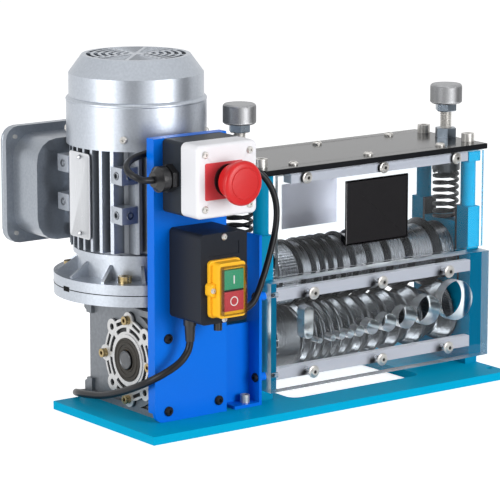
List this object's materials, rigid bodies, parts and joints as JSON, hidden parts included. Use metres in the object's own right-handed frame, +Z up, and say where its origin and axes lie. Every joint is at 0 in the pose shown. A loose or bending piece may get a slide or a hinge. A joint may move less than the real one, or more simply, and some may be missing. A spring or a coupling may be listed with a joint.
{
  "type": "electric wire stripping machine",
  "caption": "Bench wire stripper: a worm gear motor turns a grooved roller under a geared, spring-pressed blade roller behind a clear drilled feed panel.",
  "frame": {"origin": "on the base underside, on the base's long centre line, straight below the axis of the gear motor's output hub", "axes": "+X along the rollers away from the gear motor, +Y to the back, +Z up"},
  "size_m": [0.444, 0.3261, 0.34],
  "materials": {
    "base_paint": "satin powder coat",
    "head_paint": "satin powder coat",
    "cover_paint": "semi gloss powder coat",
    "motor_paint": "die cast, hammered silver paint",
    "gearbox_cast": "sand cast, clear coated",
    "gold_zinc": "yellow zinc",
    "bronze": "machined",
    "steel": "turned and polished",
    "tool_steel": "blackened",
    "zinc": "bright zinc",
    "nickel": "polished",
    "black_screw": "black oxide",
    "alu_bar": "extruded, satin",
    "clear": "polished clear acrylic",
    "lid_black": "gloss black",
    "box_black": "fine texture",
    "box_white": "gloss",
    "mushroom_red": "gloss",
    "yellow": "gloss",
    "green": "gloss",
    "key_red": "gloss",
    "liner_black": "smooth",
    "cord_black": "satin",
    "spring_black": "black",
    "fan_black": "moulded"
  },
  "bodies": {
    "frame": {"base_plate": "base_paint", "gearbox_housing": "gearbox_cast", "gearbox_covers": "gearbox_cast", "gearbox_flange": "gearbox_cast", "motor_flange": "motor_paint", "motor_body": "motor_paint", "motor_cowl": "motor_paint", "drive_screws": "gold_zinc", "terminal_box": "motor_paint", "terminal_lid": "motor_paint", "cover_plate": "cover_paint", "bracket_plate": "cover_paint", "cover_screws": "black_screw", "estop_base": "box_black", "estop_cover": "box_white", "estop_collar": "box_black", "cable_glands": "box_black", "box_screws": "nickel", "switch_box": "box_black", "switch_surround": "yellow", "left_side_plate": "head_paint", "right_side_plate": "head_paint", "guide_liners": "liner_black", "lower_bearings": "steel", "top_posts": "head_paint", "top_blocks": "head_paint", "top_plate": "lid_black", "cross_bars": "alu_bar", "feed_panel": "clear", "front_window": "clear", "rear_window": "clear", "panel_screws": "nickel", "post_screws": "zinc", "feed_nuts": "zinc", "motor_lead": "cord_black", "stop_lead": "cord_black", "mains_cord": "cord_black", "mains_coil": "cord_black", "mains_plug": "cord_black", "coil_tie": "cord_black"},
    "drive_line": {"lower_roller": "steel", "lower_gear": "steel", "worm_wheel": "bronze"},
    "rotor": {"motor_rotor": "steel", "motor_fan": "fan_black"},
    "carriage": {"slider_blocks": "head_paint", "upper_bearings": "steel", "left_press_spring": "spring_black", "right_press_spring": "spring_black"},
    "upper_line": {"upper_roller": "steel", "blade_discs": "tool_steel", "upper_gear": "steel"},
    "left_cup": {"left_spring_cup": "liner_black"},
    "left_knob": {"left_press_screw": "zinc"},
    "right_cup": {"right_spring_cup": "liner_black"},
    "right_knob": {"right_press_screw": "zinc"},
    "stop_stem": {"estop_stem": "box_black"},
    "stop_head": {"estop_button": "mushroom_red"},
    "start_key": {"start_button": "green"},
    "stop_key": {"stop_button": "key_red"}
  },
  "joints": [
    {"name": "lower_roller_spin", "type": "hinge", "parent": "frame", "child": "drive_line", "pos_m": [0, 0.008, 0.058], "axis": [1, 0, 0], "continuous": true},
    {"name": "motor_spin", "type": "hinge", "parent": "frame", "child": "rotor", "pos_m": [0, 0.048, 0.15], "axis": [0, 0, 1], "continuous": true},
    {"name": "carriage_lift", "type": "slide", "parent": "frame", "child": "carriage", "axis": [0, 0, 1], "range_m": [0, 0.0035], "stiffness_N_per_m": 12000, "springref_m": -0.004, "deforming": ["left_press_spring", "right_press_spring"]},
    {"name": "upper_roller_spin", "type": "hinge", "parent": "carriage", "child": "upper_line", "pos_m": [0.2, 0.008, 0.12], "axis": [1, 0, 0], "continuous": true},
    {"name": "left_screw_feed", "type": "slide", "parent": "frame", "child": "left_cup", "axis": [0, 0, -1], "range_m": [-0.00263, 0.007], "deforming": ["left_press_spring"]},
    {"name": "left_knob_turn", "type": "hinge", "parent": "left_cup", "child": "left_knob", "pos_m": [0.091, 0.008, 0.278], "axis": [0, 0, -1], "range_deg": [-540, 1440]},
    {"name": "right_screw_feed", "type": "slide", "parent": "frame", "child": "right_cup", "axis": [0, 0, -1], "range_m": [-0.00263, 0.007], "deforming": ["right_press_spring"]},
    {"name": "right_knob_turn", "type": "hinge", "parent": "right_cup", "child": "right_knob", "pos_m": [0.348, 0.008, 0.278], "axis": [0, 0, -1], "range_deg": [-540, 1440]},
    {"name": "estop_push", "type": "slide", "parent": "frame", "child": "stop_stem", "axis": [0, 1, 0], "range_m": [0, 0.005], "stiffness_N_per_m": 2500, "springref_m": -0.001},
    {"name": "estop_twist", "type": "hinge", "parent": "stop_stem", "child": "stop_head", "pos_m": [-0.002, -0.115, 0.2407], "axis": [0, -1, 0], "range_deg": [-30, 0], "stiffness_Nm_per_rad": 0.15},
    {"name": "start_button_press", "type": "slide", "parent": "frame", "child": "start_key", "axis": [0, 1, 0], "range_m": [0, 0.0025], "stiffness_N_per_m": 800, "springref_m": -0.0005},
    {"name": "stop_button_press", "type": "slide", "parent": "frame", "child": "stop_key", "axis": [0, 1, 0], "range_m": [0, 0.0025], "stiffness_N_per_m": 800, "springref_m": -0.0005}
  ],
  "couplings": [
    {"joint": "upper_roller_spin", "follows": "lower_roller_spin", "ratio": -1},
    {"joint": "motor_spin", "follows": "lower_roller_spin", "ratio": 20},
    {"joint": "left_knob_turn", "follows": "left_screw_feed", "rad_per_m": 3590.4},
    {"joint": "right_knob_turn", "follows": "right_screw_feed", "rad_per_m": 3590.4}
  ]
}
